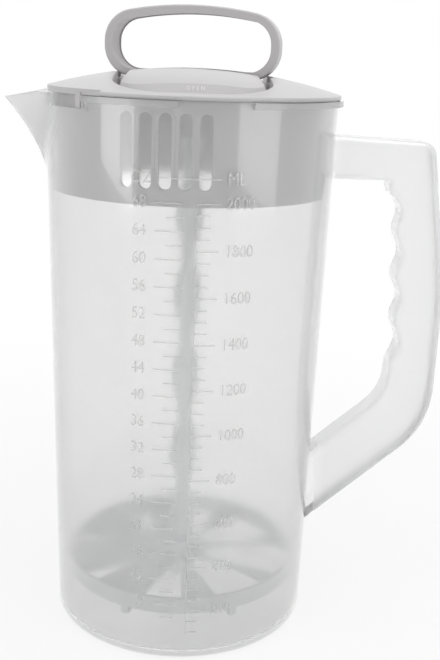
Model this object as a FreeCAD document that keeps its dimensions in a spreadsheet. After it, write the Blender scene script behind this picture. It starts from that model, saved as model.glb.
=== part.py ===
import FreeCAD, Part
import math
import os
import re
from types import SimpleNamespace

import Sketcher

# Formula mixing pitcher, in millimetres.
# The origin is the centre of the base, +Z is up, +X points to the jug's handle and -X to its spout.
# The lid, loop handle, shaft and wheel are drawn in the lid's own frame, with the strainer towards -Y,
# and are turned together by lid_rest_turn.

DIMENSIONS = [
    ("jug_height", 236.0, "base to rim"),
    ("jug_base_radius", 57.3, "outside, at the base"),
    ("jug_rim_radius", 61.7, "outside, at the rim"),
    ("jug_wall", 2.0, "side wall"),
    ("jug_floor", 2.8, "floor thickness"),
    ("jug_corner", 4.0, "outer radius between floor and side"),
    ("rim_flange_reach", 2.2, "how far the rim flange stands out"),
    ("rim_flange_depth", 2.4, "height of the rim flange"),
    ("rim_gap_middle", 8.5, "front to the middle of the rim flange's front gap, in degrees"),
    ("rim_gap_half_angle", 13.0, "half of the rim flange's front gap"),
    ("flange_gap_half_angle", 48.0, "half of the flange's gap at the spout"),
    ("notch_half_angle", 46.5, "half of the rim's notch at the spout"),
    ("notch_depth", 5.0, "rim down to the notch's floor"),
    ("spout_reach", 17.6, "wall to spout tip"),
    ("spout_drop", 38.0, "tip down to the spout's root"),
    ("spout_tip_drop", 3.4, "rim down to the tip of the spout"),
    ("spout_nose_radius", 4.0, "plan radius of the spout's nose"),
    ("spout_root_radius", 14.0, "plan radius of the nose at the spout's root"),
    ("spout_flare", 1.8, "power of the spout's flare"),
    ("spout_root_sink", 0.4, "how far the spout's root starts inside the wall"),
    ("handle_reach", 51.6, "rim radius to the handle's outermost point"),
    ("handle_lean", 9.0, "how far the handle's top corner stands in"),
    ("handle_width", 17.0, "across the handle"),
    ("handle_grip", 21.5, "thickness of the grip at its top"),
    ("handle_top_drop", 14.5, "rim to the top of the upper arm"),
    ("handle_arm_depth", 18.5, "height of the upper arm"),
    ("handle_arm_taper", 2.0, "fall of the upper arm's top"),
    ("handle_corner", 6.0, "radius of the top corner"),
    ("handle_foot_height", 44.0, "where the lower arm's underside meets the jug"),
    ("handle_foot_depth", 33.0, "height of the lower arm where it meets the jug"),
    ("handle_foot_slope", 41.0, "slope of the lower arm in degrees"),
    ("handle_edge_radius", 3.0, "rounding of the handle's long edges"),
    ("handle_bend", 40.0, "outer radius where the grip turns into the lower arm"),
    ("fingers", 4, "finger hollows in the grip"),
    ("finger_pitch", 20.2, "spacing of the finger hollows"),
    ("finger_depth", 4.2, "height of the zigzag that the finger hollows round off"),
    ("finger_radius", 9.0, "radius of a finger hollow"),
    ("finger_entry", 1.5, "upper arm to the first hollow"),
    ("finger_lean", 3.0, "how far the hollows lean outwards from top to bottom"),
    ("lid_rest_turn", -9.5, "turn of the lid about the jug's axis, in degrees"),
    ("lid_gap", 0.15, "rim to the underside of the lid's flange"),
    ("lid_flange_radius", 62.7, "outside of the lid's flange"),
    ("lid_flange_depth", 1.9, "thickness of the lid's flange"),
    ("lid_edge_radius", 0.7, "rounding of the lid's edge"),
    ("lid_dome_rise", 8.9, "flange to the top of the dome"),
    ("lid_dome_inset", 0.7, "edge of the flange to the edge of the dome"),
    ("lid_cut_radius", 60.8, "outside of the lid's edge beside the spout"),
    ("lid_cut_half_angle", 56.0, "half of the lid's narrower edge beside the spout"),
    ("lid_wall", 2.0, "thickness of the lid"),
    ("moat_length", 63.0, "outside of the channel round the island, along the loop"),
    ("moat_depth", 120.0, "outside of the channel round the island, across the loop"),
    ("moat_corner", 28.0, "corner radius of the channel's outside"),
    ("moat_side", 2.2, "width of the channel's floor beside the island"),
    ("moat_end", 11.4, "width of the channel's floor in front of the island and behind it"),
    ("moat_rise", 0.3, "flange top to the channel's floor"),
    ("moat_slope", 25.0, "slope of the island's side, from upright, in degrees"),
    ("island_corner", 12.0, "corner radius of the island, at the channel's floor"),
    ("island_turn", 9.5, "turn of the island from the strainer's middle, in degrees"),
    ("seat_reach", 34.0, "axis to the end of the loop handle's slot"),
    ("seat_clearance", 0.4, "loop handle to the floor of its slot"),
    ("seat_play", 0.8, "loop handle to the side of its slot"),
    ("sleeve_clearance", 0.5, "sleeve to the jug's inner wall, at the sleeve's lower edge"),
    ("sleeve_wall", 1.8, "thickness of the strainer sleeve"),
    ("sleeve_height", 39.5, "rim to the sleeve's lower edge"),
    ("sleeve_seat_depth", 3.0, "height of the lid's ring inside the sleeve"),
    ("slot_count", 5, "slots in the strainer"),
    ("slot_pitch", 7.5, "angle between slots, in degrees"),
    ("slot_width", 5.0, "width of a slot"),
    ("slot_top_drop", 4.6, "rim to the top of the slots"),
    ("slot_length", 28.6, "length of a slot"),
    ("slot_border", 1.3, "width of the raised border round a slot"),
    ("slot_border_rise", 0.3, "how far the border stands out"),
    ("collar_depth", 2.4, "rim down to the lower edge of the sleeve's collar"),
    ("collar_clearance", 0.25, "collar to the jug's inner wall"),
    ("spout_wall_depth", 6.1, "rim down to the lower edge of the wall that closes the spout"),
    ("spout_wall_half_angle", 48.0, "half of the wall that closes the spout"),
    ("stop_width", 3.0, "width of the lid's stop rib"),
    ("stop_gap_angle", 0.9, "stop rib to the end of the notch, in degrees"),
    ("stop_clearance", 0.3, "stop rib to the notch, and to the collar"),
    ("stop_reach", 0.6, "how far the stop rib stands out from the lid's narrower edge"),
    ("loop_length", 73.0, "outside length of the loop handle"),
    ("loop_height", 29.6, "outside height of the loop handle"),
    ("loop_crown", 2.4, "rise of the loop's top"),
    ("loop_shoulder", 26.0, "half length of the loop's crowned top"),
    ("loop_foot", 23.8, "half length of the loop's flat bottom"),
    ("loop_thickness", 3.0, "thickness of the strap"),
    ("loop_width", 16.0, "width of the strap"),
    ("loop_edge_radius", 0.8, "rounding of the strap's outer edges"),
    ("loop_lip_width", 0.7, "width of the lips along the strap's inner face"),
    ("loop_lip_rise", 0.4, "height of the lips along the strap's inner face"),
    ("loop_lift", 6.25, "lid's rim to the underside of the loop"),
    ("pin_radius", 2.0, "swivel pin"),
    ("pin_head_radius", 5.2, "head of the swivel pin"),
    ("pin_head_depth", 0.8, "thickness of the pin's head"),
    ("pin_grip", 14.0, "length of the pin inside the shaft"),
    ("pin_clearance", 0.08, "swivel pin in the loop and washers, on the radius"),
    ("washer_radius", 5.6, "swivel washer"),
    ("washer_thickness", 0.6, "swivel washer"),
    ("washer_gap", 0.05, "play at each face of a washer"),
    ("shaft_core_radius", 3.2, "round core of the twisted shaft"),
    ("fin_radius", 5.9, "axis to the edge of a fin"),
    ("fin_thickness", 2.4, "thickness of a fin"),
    ("twist_pitch", 74.0, "length of one full turn of the fins"),
    ("twist_phase", 155.7, "turn of the fins at their lower end, in degrees"),
    ("nut_clearance", 0.3, "shaft to the bore of the drive nut"),
    ("nut_radius", 7.5, "outside of the drive nut's tube"),
    ("nut_collar_reach", 0.9, "how far the nut's collar stands out"),
    ("nut_collar_depth", 1.4, "thickness of the nut's collar"),
    ("nut_length", 23.0, "length of the drive nut"),
    ("nut_top_gap", 0.3, "top of the nut to the underside of the swivel washer"),
    ("fit_gap", 0.05, "play between pieces that are pressed together"),
    ("retainer_reach", 3.2, "nut's tube to the outside of its retainer"),
    ("retainer_depth", 2.4, "thickness of the nut's retainer"),
    ("wheel_radius", 52.4, "outside of the mixing wheel"),
    ("wheel_rim_wall", 1.8, "thickness of the wheel's rim"),
    ("wheel_rim_depth", 7.4, "height of the wheel's rim"),
    ("wheel_lift", 20.0, "base to the lower edge of the wheel's rim"),
    ("hub_radius", 7.0, "outside of the wheel's hub"),
    ("hub_above", 3.6, "how far the hub stands above the rim"),
    ("hub_below", 3.0, "how far the hub hangs below the rim"),
    ("spigot_radius", 3.0, "shaft's lower end, in the hub"),
    ("blade_count", 8, "blades in the wheel"),
    ("blade_angle", 22.0, "plan angle of a blade, in degrees"),
    ("blade_thickness", 1.5, "thickness of a blade"),
    ("blade_phase", 21.5, "angle of the first blade in the lid's frame, in degrees"),
    ("nub_angle", 26.5, "angle of a nub from the wheel's front and back, in degrees"),
    ("nub_size", 3.2, "length, width and depth of a nub under the rim"),
    ("cap_radius", 5.6, "cap below the hub"),
    ("cap_depth", 4.0, "height of the cap"),
    ("cap_socket", 2.6, "depth of the cap's socket for the spigot"),
]
NAMES = {name for name, number, note in DIMENSIONS}

doc = FreeCAD.newDocument("formula_pitcher")
sheet = doc.addObject("Spreadsheet::Sheet", "sizes")
for row, (name, number, note) in enumerate(DIMENSIONS, start=1):
    sheet.set(f"A{row}", name)
    sheet.set(f"B{row}", str(number))
    sheet.set(f"C{row}", note)
    sheet.setAlias(f"B{row}", name)
doc.recompute()
s = SimpleNamespace(**{name: sheet.get(name) for name in NAMES})


def rule(words):
    """The sheet's own expression for a sum written with plain size names."""
    return re.sub(
        r"[a-z][a-z_]*", lambda match: "sizes." + match[0] if match[0] in NAMES else match[0], words)


def bind(thing, **rules):
    """Tie properties of an object to the sheet."""
    for prop, words in rules.items():
        thing.setExpression(prop.replace("__", "."), rule(words))
    return thing


# Heights and radii that several pieces share, as sums of the sheet's sizes
JUG_SLOPE = "(jug_rim_radius - jug_base_radius) / jug_height"
LID_UNDER = "(jug_height + lid_gap)"
LID_TOP = "(jug_height + lid_gap + lid_flange_depth)"
DOME_TOP = f"({LID_TOP} + lid_dome_rise)"
MOAT_FLOOR = f"({LID_TOP} + moat_rise)"
LOOP_UNDER = f"({LID_UNDER} + loop_lift)"
SEAT_FLOOR = f"({LOOP_UNDER} - seat_clearance)"
SHAFT_TOP = f"({LOOP_UNDER} - washer_thickness - 2 * washer_gap)"
NUT_TOP = f"({SHAFT_TOP} + washer_gap - nut_top_gap)"
NUT_SEAT = f"({NUT_TOP} - nut_collar_depth)"
LID_FLOOR_UNDER = f"({NUT_SEAT} - lid_wall)"
SLEEVE_LOW = "(jug_height - sleeve_height)"
SLEEVE_RADIUS = f"(jug_base_radius + {JUG_SLOPE} * {SLEEVE_LOW} - jug_wall - sleeve_clearance)"
SLEEVE_INSIDE = f"({SLEEVE_RADIUS} - sleeve_wall)"
SPOUT_WALL_LOW = "(jug_height - spout_wall_depth)"
COLLAR_RADIUS = f"(jug_base_radius + {JUG_SLOPE} * {SPOUT_WALL_LOW} - jug_wall - collar_clearance)"
HUB_TOP = "(wheel_lift + wheel_rim_depth + hub_above)"
HUB_LOW = "(wheel_lift - hub_below)"
NOTCH_RADIUS = "(lid_flange_radius + stop_clearance)"
DOME_EDGE = "(lid_flange_radius - lid_dome_inset)"
DOME_RADIUS = f"(({DOME_EDGE} ^ 2 + lid_dome_rise ^ 2) / (2 * lid_dome_rise))"
HEAD_UNDER = f"({LOOP_UNDER} + loop_thickness + washer_thickness + 2 * washer_gap)"


def sheet_number(words):
    """The value of one of the shared sums."""
    probe = doc.getObject("probe") or doc.addObject("Part::Vertex", "probe")
    bind(probe, X=words)
    doc.recompute()
    return probe.X.Value


def jug_radius(height):
    """Outside radius of the jug at a height."""
    return s.jug_base_radius + (s.jug_rim_radius - s.jug_base_radius) * height / s.jug_height


def origin_plane(body, role):
    """One of a body's own origin planes."""
    return next(plane for plane in body.Origin.OriginFeatures if plane.Role == role)


def origin_axis(body, role):
    """One of a body's own origin axes."""
    return next(axis for axis in body.Origin.OriginFeatures if axis.Role == role)


def new_sketch(body, name, role):
    """An empty sketch on one of a body's origin planes."""
    sketch = body.newObject("Sketcher::SketchObject", name)
    sketch.AttachmentSupport = [(origin_plane(body, role), "")]
    sketch.MapMode = "FlatFace"
    return sketch


def outline(body, name, corners, role="XZ_Plane"):
    """A closed outline of straight sides whose corners are tied to the sheet."""
    sketch = new_sketch(body, name, role)
    count = len(corners)
    turns = [2 * math.pi * i / count for i in range(count)]
    points = [FreeCAD.Vector(50 + 10 * math.cos(turn), 50 + 10 * math.sin(turn), 0) for turn in turns]
    for i in range(count):
        sketch.addGeometry(Part.LineSegment(points[i], points[(i + 1) % count]), False)
    for i in range(count):
        sketch.addConstraint(Sketcher.Constraint("Coincident", i, 2, (i + 1) % count, 1))
    for i, corner in enumerate(corners):
        for kind, words in zip(("DistanceX", "DistanceY"), corner):
            number = sketch.addConstraint(Sketcher.Constraint(kind, -1, 1, i, 1, 50.0))
            sketch.setExpression(f"Constraints[{number}]", rule(words))
    return sketch


def turned_body(name, corners, angle=None):
    """A piece of revolution about +Z from the half section through corners, each a radius and a height."""
    body = doc.addObject("PartDesign::Body", name)
    sketch = outline(body, name + "_section", corners)
    turned = body.newObject("PartDesign::Revolution", name + "_turned")
    turned.Profile = sketch
    turned.ReferenceAxis = (origin_axis(body, "Z_Axis"), [""])
    turned.Midplane = True
    if angle:
        bind(turned, Angle=angle)
    doc.recompute()
    return body


def ring_section(inner, outer, low, high):
    """The four corners of a ring's half section."""
    return [(inner, low), (outer, low), (outer, high), (inner, high)]


def round_edges(body, name, radius, choose):
    """Fillets on the edges of a body's tip that choose picks."""
    base = body.Tip
    edges = [f"Edge{i}" for i, edge in enumerate(base.Shape.Edges, start=1) if choose(edge)]
    fillet = body.newObject("PartDesign::Fillet", name)
    fillet.Base = (base, edges)
    bind(fillet, Radius=radius)
    doc.recompute()
    return fillet


def is_ring_at(radius, height):
    """A test for the round edge of that radius at that height."""
    def test(edge):
        box = edge.BoundBox
        flat = box.ZLength < 0.01 and abs(box.ZMin - height) < 0.01
        return flat and abs(box.XMax - radius) < 0.02
    return test


def combine(kind, name, parts, merge_faces=True):
    """A Part boolean of several pieces."""
    result = doc.addObject(kind, name)
    result.Refine = merge_faces
    if kind == "Part::Cut":
        result.Base, result.Tool = parts
    else:
        result.Shapes = parts
    doc.recompute()
    return result


def cut(name, base, tool, merge_faces=True):
    return combine("Part::Cut", name, [base, tool], merge_faces)


def fuse(name, *parts):
    return combine("Part::MultiFuse", name, list(parts))


def common(name, *parts):
    return combine("Part::MultiCommon", name, list(parts))


def solid(name, shape):
    """A piece whose shape is worked out from the sheet's sizes here."""
    piece = doc.addObject("Part::Feature", name)
    piece.Shape = shape
    return piece


def cylinder(name, radius, height, low):
    piece = doc.addObject("Part::Cylinder", name)
    return bind(piece, Radius=radius, Height=height, Placement__Base__z=low)


def turn_about_z(piece, angle):
    """Turn a finished piece about the jug's axis."""
    piece.Placement = FreeCAD.Placement(FreeCAD.Vector(), FreeCAD.Rotation(FreeCAD.Vector(0, 0, 1), angle))
    return piece


def point(x, y, z):
    return FreeCAD.Vector(x, y, z)


def arc(start, middle, end):
    return Part.Arc(start, middle, end).toShape()


# Jug

def spout_section(height, wall):
    """The spout's plan at a height: a nose and two flanks that lie tangent to the jug."""
    tip_height = s.jug_height - s.spout_tip_drop
    depth = (tip_height - height) / s.spout_drop
    share = max(1 - depth, 0)
    nose_share = min(max(depth, 0), 1)
    jug = jug_radius(height) - wall - 0.15
    reach = s.spout_reach * share ** s.spout_flare - s.spout_root_sink * nose_share
    nose = s.spout_nose_radius + (s.spout_root_radius - s.spout_nose_radius) * nose_share - wall
    centre = jug_radius(height) + reach - wall - nose
    spread = math.acos(min((jug - nose) / centre, 0.9999))
    side = point(-math.cos(spread), -math.sin(spread), 0)
    other = point(-math.cos(spread), math.sin(spread), 0)
    nose_centre = point(-centre, 0, height)
    up = point(0, 0, height)
    first, last = up + side * jug, up + other * jug
    nose_first, nose_last = nose_centre + side * nose, nose_centre + other * nose
    nose_tip = nose_centre + point(-nose, 0, 0)
    back_first, back_last = up + side * (jug / 2), up + other * (jug / 2)
    return Part.Wire([
        Part.makeLine(back_first, first),
        Part.makeLine(first, nose_first),
        arc(nose_first, nose_tip, nose_last),
        Part.makeLine(nose_last, last),
        Part.makeLine(last, back_last),
        Part.makeLine(back_last, back_first),
    ])


def spout_solid(wall, above):
    """The spout's outside, or with a wall its inside, up to a little above the rim."""
    tip_height = s.jug_height - s.spout_tip_drop
    levels = [1.0, 0.84, 0.68, 0.52, 0.36, 0.2, 0.08, 0.0]
    heights = [tip_height - level * s.spout_drop for level in levels] + [s.jug_height + above]
    return Part.makeLoft([spout_section(height, wall) for height in heights], True, False)


def rounded_wire(corners):
    """A closed outline in the XZ plane through corners, each an x, a z and the radius that rounds it."""
    spots = [point(x, 0, z) for x, z, radius in corners]
    starts, ends, arcs = [], [], []
    for i, (x, z, radius) in enumerate(corners):
        here = spots[i]
        back = (spots[i - 1] - here).normalize()
        ahead = (spots[(i + 1) % len(spots)] - here).normalize()
        half = back.getAngle(ahead) / 2
        run = radius / math.tan(half)
        middle = here + (back + ahead).normalize() * (radius / math.sin(half) - radius)
        starts.append(here + back * run)
        ends.append(here + ahead * run)
        arcs.append(arc(starts[i], middle, ends[i]) if radius else None)
    edges = []
    for i in range(len(spots)):
        if arcs[i]:
            edges.append(arcs[i])
        following = starts[(i + 1) % len(spots)]
        if (following - ends[i]).Length > 1e-6:
            edges.append(Part.makeLine(ends[i], following))
    return Part.Wire(edges)


def handle_outline():
    """The handle's side view: two arms and a grip with hollows for four fingers."""
    inside = s.jug_base_radius - s.jug_wall
    slope = math.tan(math.radians(s.handle_foot_slope))
    outer = s.jug_rim_radius + s.handle_reach
    top = s.jug_height - s.handle_top_drop
    under = top - s.handle_arm_depth
    low = s.handle_foot_height - (jug_radius(s.handle_foot_height) - inside) * slope
    high = low + s.handle_foot_depth
    corner_x = outer - s.handle_lean
    waist = top - 0.375 * (top - s.handle_foot_height)
    crest = outer - s.handle_grip - s.finger_lean
    first = under - s.finger_pitch / 2 - s.finger_entry
    hollows = []
    for step in range(2 * s.fingers - 1):
        lean = s.finger_lean * step / (2 * s.fingers - 2)
        hollow = s.finger_depth if step % 2 == 0 else 0
        hollows.append((crest + lean + hollow, first - step * s.finger_pitch / 2, s.finger_radius))
    palm = crest + s.finger_lean
    palm_end = hollows[-1][1] - s.finger_pitch / 2
    entry = crest - 0.8 * s.finger_depth
    return rounded_wire([
        (inside, top, 0),
        (corner_x, top - s.handle_arm_taper, s.handle_corner),
        (outer + 0.4, waist, 6 * s.handle_bend),
        (outer - 0.4, low + (outer - 0.4 - inside) * slope, s.handle_bend),
        (inside, low, 0),
        (inside, high, 0),
        (palm - 1, high + (palm - 1 - inside) * slope, s.handle_bend * 0.55),
        (palm, palm_end, s.finger_radius / 2),
        *reversed(hollows),
        (entry, first + s.finger_pitch / 3, s.finger_radius / 2),
        (entry, under, s.finger_radius / 6),
        (inside, under, 0),
    ])


def handle_solid():
    """The handle, rounded along its long edges."""
    block = Part.Face(handle_outline()).extrude(point(0, s.handle_width, 0))
    block.translate(point(0, -s.handle_width / 2, 0))
    inside = s.jug_base_radius - s.jug_wall
    side_edges = [
        edge for edge in block.Edges
        if edge.BoundBox.YLength < 0.01 and edge.BoundBox.XMax > inside + 1
    ]
    return block.makeFillet(s.handle_edge_radius, side_edges)


def rim_flange():
    """The two lengths of the rim flange, from the front gap to the spout on either side."""
    section = ring_section(
        "jug_rim_radius - jug_wall / 2", "jug_rim_radius + rim_flange_reach",
        "jug_height - rim_flange_depth", "jug_height")
    front = turned_body(
        "rim_flange_front", section, "90 - flange_gap_half_angle + rim_gap_middle - rim_gap_half_angle")
    back = turned_body(
        "rim_flange_back", section, "270 - flange_gap_half_angle - rim_gap_middle - rim_gap_half_angle")
    front_start = s.flange_gap_half_angle - 180
    front_end = s.rim_gap_middle - s.rim_gap_half_angle - 90
    back_start = s.rim_gap_middle + s.rim_gap_half_angle - 90
    back_end = 180 - s.flange_gap_half_angle
    turn_about_z(front, (front_start + front_end) / 2)
    turn_about_z(back, (back_start + back_end) / 2)
    return front, back


def make_jug():
    above = 1.0
    outside = turned_body("jug_outside", [
        ("0", "0"), ("jug_base_radius", "0"), ("jug_rim_radius", "jug_height"), ("0", "jug_height")])
    round_edges(outside, "jug_outer_corner", "jug_corner", is_ring_at(s.jug_base_radius, 0))
    slope = JUG_SLOPE
    inner_low = f"jug_base_radius - jug_wall + {slope} * jug_floor"
    inner_high = f"jug_rim_radius - jug_wall + {slope}"
    inside = turned_body("jug_inside", [
        ("0", "jug_floor"), (inner_low, "jug_floor"), (inner_high, "jug_height + 1"), ("0", "jug_height + 1")])
    low_radius = jug_radius(s.jug_floor) - s.jug_wall
    round_edges(inside, "jug_inner_corner", "jug_corner - jug_wall / 2", is_ring_at(low_radius, s.jug_floor))
    flange = rim_flange()
    notch = turned_body(
        "rim_notch",
        ring_section("jug_base_radius - jug_wall", NOTCH_RADIUS, "jug_height - notch_depth", "jug_height + 1"),
        "2 * notch_half_angle")
    turn_about_z(notch, 180)

    tip = jug_radius(s.jug_height) + s.spout_reach
    trim_inner = point(-s.lid_flange_radius, 0, s.jug_height)
    trim_outer = point(-tip, 0, s.jug_height - s.spout_tip_drop)
    beyond = trim_outer + (trim_outer - trim_inner)
    trim_top = s.jug_height + s.spout_drop
    trim_wire = Part.makePolygon([
        trim_inner, beyond, point(beyond.x, 0, trim_top), point(trim_inner.x, 0, trim_top), trim_inner])
    trim_face = Part.Face(trim_wire)
    trim = trim_face.extrude(point(0, 2 * tip, 0))
    trim.translate(point(0, -tip, 0))
    spout_trim = solid("spout_trim", trim)

    outer_spout = spout_solid(0, 0)
    spout_outside = cut("spout_outside", solid("spout_flare", outer_spout), spout_trim)
    spout_inside = solid("spout_inside", spout_solid(s.jug_wall, above))
    handle = solid("jug_handle", handle_solid())
    full = fuse("jug_full", outside, *flange, spout_outside, handle)
    hollow = fuse("jug_hollow", inside, spout_inside, notch)
    return cut("jug_body", full, hollow)


# Lid

def rounded_plan(along, across, corner, height):
    """A rounded rectangle in plan, from its half sizes along X and along Y, turned with the island."""
    plan = rounded_wire([
        (along, across, corner), (-along, across, corner),
        (-along, -across, corner), (along, -across, corner)])
    plan.rotate(point(0, 0, 0), point(1, 0, 0), -90)
    plan.rotate(point(0, 0, 0), point(0, 0, 1), s.island_turn)
    plan.translate(point(0, 0, height))
    return plan


def channel_column(name, wall, low, high):
    """The outside of the channel round the island as an upright column, larger by a wall."""
    sizes = (s.moat_length / 2 + wall, s.moat_depth / 2 + wall, s.moat_corner + wall)
    return solid(name, Part.makeLoft([rounded_plan(*sizes, low), rounded_plan(*sizes, high)], True, True))


def island_column(name, wall, low, high):
    """The island, which narrows upwards, or with a wall the hollow inside it."""
    plans = []
    for height in (low, high):
        inset = wall + (height - sheet_number(MOAT_FLOOR)) * math.tan(math.radians(s.moat_slope))
        plans.append(rounded_plan(
            s.moat_length / 2 - s.moat_side - inset, s.moat_depth / 2 - s.moat_end - inset,
            s.island_corner - inset, height))
    return solid(name, Part.makeLoft(plans, True, True))


def dome_ball(name, wall):
    """A ball whose top is the lid's dome, smaller by a wall."""
    ball = doc.addObject("Part::Sphere", name)
    return bind(ball, Radius=f"{DOME_RADIUS} - {wall}", Placement__Base__z=f"{DOME_TOP} - {DOME_RADIUS}")


def box(name, along, across, low, high):
    """An upright box centred on the axis, with half sizes along X and along Y."""
    piece = doc.addObject("Part::Box", name)
    return bind(
        piece, Length=f"2 * ({along})", Width=f"2 * ({across})", Height=f"{high} - ({low})",
        Placement__Base__x=f"-({along})", Placement__Base__y=f"-({across})", Placement__Base__z=low)


def make_lid():
    flange = turned_body("lid_flange", ring_section("0", "lid_flange_radius", LID_UNDER, LID_TOP))
    round_edges(
        flange, "lid_edge", "lid_edge_radius",
        lambda edge: abs(edge.BoundBox.XMax - s.lid_flange_radius) < 0.01 and edge.BoundBox.ZLength < 0.01)

    above = f"({DOME_TOP} + 1)"
    top, floor = sheet_number(above), sheet_number(MOAT_FLOOR)
    moat = cut("moat", channel_column("moat_column", 0, floor, top), island_column("island", 0, floor, top))
    jacket_low = floor - s.lid_wall
    jacket = cut(
        "moat_jacket", channel_column("jacket_column", s.lid_wall, jacket_low, top),
        island_column("island_inside", s.lid_wall, jacket_low, top))

    seat_half = "(loop_width / 2 + seat_play)"
    collar_seat = "(nut_radius + nut_collar_reach + fit_gap)"
    seat = box("loop_seat", "seat_reach", seat_half, SEAT_FLOOR, above)
    seat_jacket = box(
        "seat_jacket", "seat_reach + lid_wall", f"({seat_half} + lid_wall)",
        f"({SEAT_FLOOR} - lid_wall)", above)
    boss = cylinder("nut_boss", f"{collar_seat} + lid_wall", f"{above} - {LID_FLOOR_UNDER}", LID_FLOOR_UNDER)
    counterbore = cylinder("collar_seat", collar_seat, f"{above} - {NUT_SEAT}", NUT_SEAT)
    hole = cylinder(
        "nut_hole", "nut_radius + fit_gap", f"{above} - {LID_FLOOR_UNDER} + 1", f"{LID_FLOOR_UNDER} - 1")

    ring_low = f"({LID_UNDER} - sleeve_seat_depth)"
    ring_outside = f"({SLEEVE_INSIDE} - fit_gap)"
    ring_inside = f"({ring_outside} - lid_wall)"
    inside_flange = f"({LID_UNDER} + lid_flange_depth / 2)"
    seat_ring = turned_body("sleeve_seat", ring_section(ring_inside, ring_outside, ring_low, inside_flange))
    cavity_column = cylinder("cavity_column", ring_inside, f"{above} - {LID_UNDER} + 1", f"{LID_UNDER} - 1")
    cavity = cut(
        "lid_cavity", common("cavity_dome", dome_ball("cavity_ball", "lid_wall"), cavity_column),
        fuse("lid_jackets", jacket, seat_jacket, boss))

    rib = turned_body(
        "stop_rib",
        ring_section(
            f"{COLLAR_RADIUS} + stop_clearance", "lid_cut_radius + stop_reach",
            "jug_height - notch_depth + stop_clearance", inside_flange),
        "stop_width / lid_cut_radius * 180 / pi")
    half_rib = math.degrees(s.stop_width / 2 / s.lid_cut_radius)
    turn_about_z(rib, 180 + s.notch_half_angle - s.stop_gap_angle - half_rib - s.lid_rest_turn)
    edge_cut = turned_body(
        "edge_cut",
        ring_section(
            "lid_cut_radius", "lid_flange_radius + 1", f"{LID_UNDER} - 1", f"{LID_TOP} + lid_dome_rise"),
        "2 * lid_cut_half_angle")
    turn_about_z(edge_cut, 180 - s.lid_rest_turn)
    dome_column = cylinder("dome_column", DOME_EDGE, "lid_dome_rise + lid_flange_depth + 1", LID_UNDER)
    lid_dome = common("lid_dome", dome_ball("dome_ball", "0"), dome_column)
    shell = cut("lid_top", fuse("lid_disc", flange, lid_dome), edge_cut)
    shell = fuse("lid_full", shell, seat_ring, rib)
    for tool in (moat, seat, counterbore, hole):
        shell = cut("lid_without_" + tool.Label, shell, tool)
    return cut("lid_shell", shell, cavity, merge_faces=False)


def slot_block(name, width, low, high, angle):
    """A round-ended upright block from the axis out through the sleeve, at an angle."""
    reach = f"({SLEEVE_RADIUS} + sleeve_wall)"
    flat = doc.addObject("Part::Box", name + "_flat")
    bind(
        flat, Length=width, Width=reach, Height=f"{high} - {low} - {width}",
        Placement__Base__x=f"-{width} / 2", Placement__Base__y=f"-{reach}",
        Placement__Base__z=f"{low} + {width} / 2")
    ends = [
        cylinder(name + "_low_end", f"{width} / 2", reach, f"{low} + {width} / 2"),
        cylinder(name + "_high_end", f"{width} / 2", reach, f"{high} - {width} / 2"),
    ]
    for end in ends:
        end.Placement.Rotation = FreeCAD.Rotation(FreeCAD.Vector(1, 0, 0), 90)
    return turn_about_z(fuse(name, flat, *ends), angle)


def make_sleeve():
    top = f"({LID_UNDER} - fit_gap)"
    tube = turned_body("sleeve_tube", ring_section(SLEEVE_INSIDE, SLEEVE_RADIUS, SLEEVE_LOW, top))
    collar_low = "(jug_height - collar_depth)"
    inside_sleeve = f"({SLEEVE_RADIUS} - sleeve_wall / 2)"
    collar = turned_body("sleeve_collar", ring_section(inside_sleeve, COLLAR_RADIUS, collar_low, top))
    spout_wall = turned_body(
        "spout_wall", ring_section(inside_sleeve, COLLAR_RADIUS, SPOUT_WALL_LOW, top),
        "2 * spout_wall_half_angle")
    turn_about_z(spout_wall, 180 - s.lid_rest_turn)
    band = turned_body(
        "border_band", ring_section(inside_sleeve, f"{SLEEVE_RADIUS} + slot_border_rise", SLEEVE_LOW, collar_low))
    high = "(jug_height - slot_top_drop)"
    low = f"({high} - slot_length)"
    slots, borders = [], []
    for i in range(int(s.slot_count)):
        angle = s.slot_pitch * (i - (s.slot_count - 1) / 2)
        slots.append(slot_block(f"slot_{i + 1}", "slot_width", low, high, angle))
        borders.append(slot_block(
            f"border_{i + 1}", "(slot_width + 2 * slot_border)",
            f"({low} - slot_border)", f"({high} + slot_border)", angle))
    raised = common("raised_borders", fuse("border_blocks", *borders), band)
    full = fuse("sleeve_full", tube, collar, spout_wall, raised)
    return cut("strainer_sleeve", full, fuse("sleeve_slots", *slots))


# Drive

def twist_section(core, fin, thickness, height, turn):
    """A round core with two fins whose ends are round, turned about the axis."""
    half = thickness / 2
    core_x = math.sqrt(core ** 2 - half ** 2)
    fin_x = math.sqrt(fin ** 2 - half ** 2)
    section = Part.Wire([
        arc(point(fin_x, -half, 0), point(fin, 0, 0), point(fin_x, half, 0)),
        Part.makeLine(point(fin_x, half, 0), point(core_x, half, 0)),
        arc(point(core_x, half, 0), point(0, core, 0), point(-core_x, half, 0)),
        Part.makeLine(point(-core_x, half, 0), point(-fin_x, half, 0)),
        arc(point(-fin_x, half, 0), point(-fin, 0, 0), point(-fin_x, -half, 0)),
        Part.makeLine(point(-fin_x, -half, 0), point(-core_x, -half, 0)),
        arc(point(-core_x, -half, 0), point(0, -core, 0), point(core_x, -half, 0)),
        Part.makeLine(point(core_x, -half, 0), point(fin_x, -half, 0)),
    ])
    section.rotate(point(0, 0, 0), point(0, 0, 1), turn)
    section.translate(point(0, 0, height))
    return section


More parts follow.
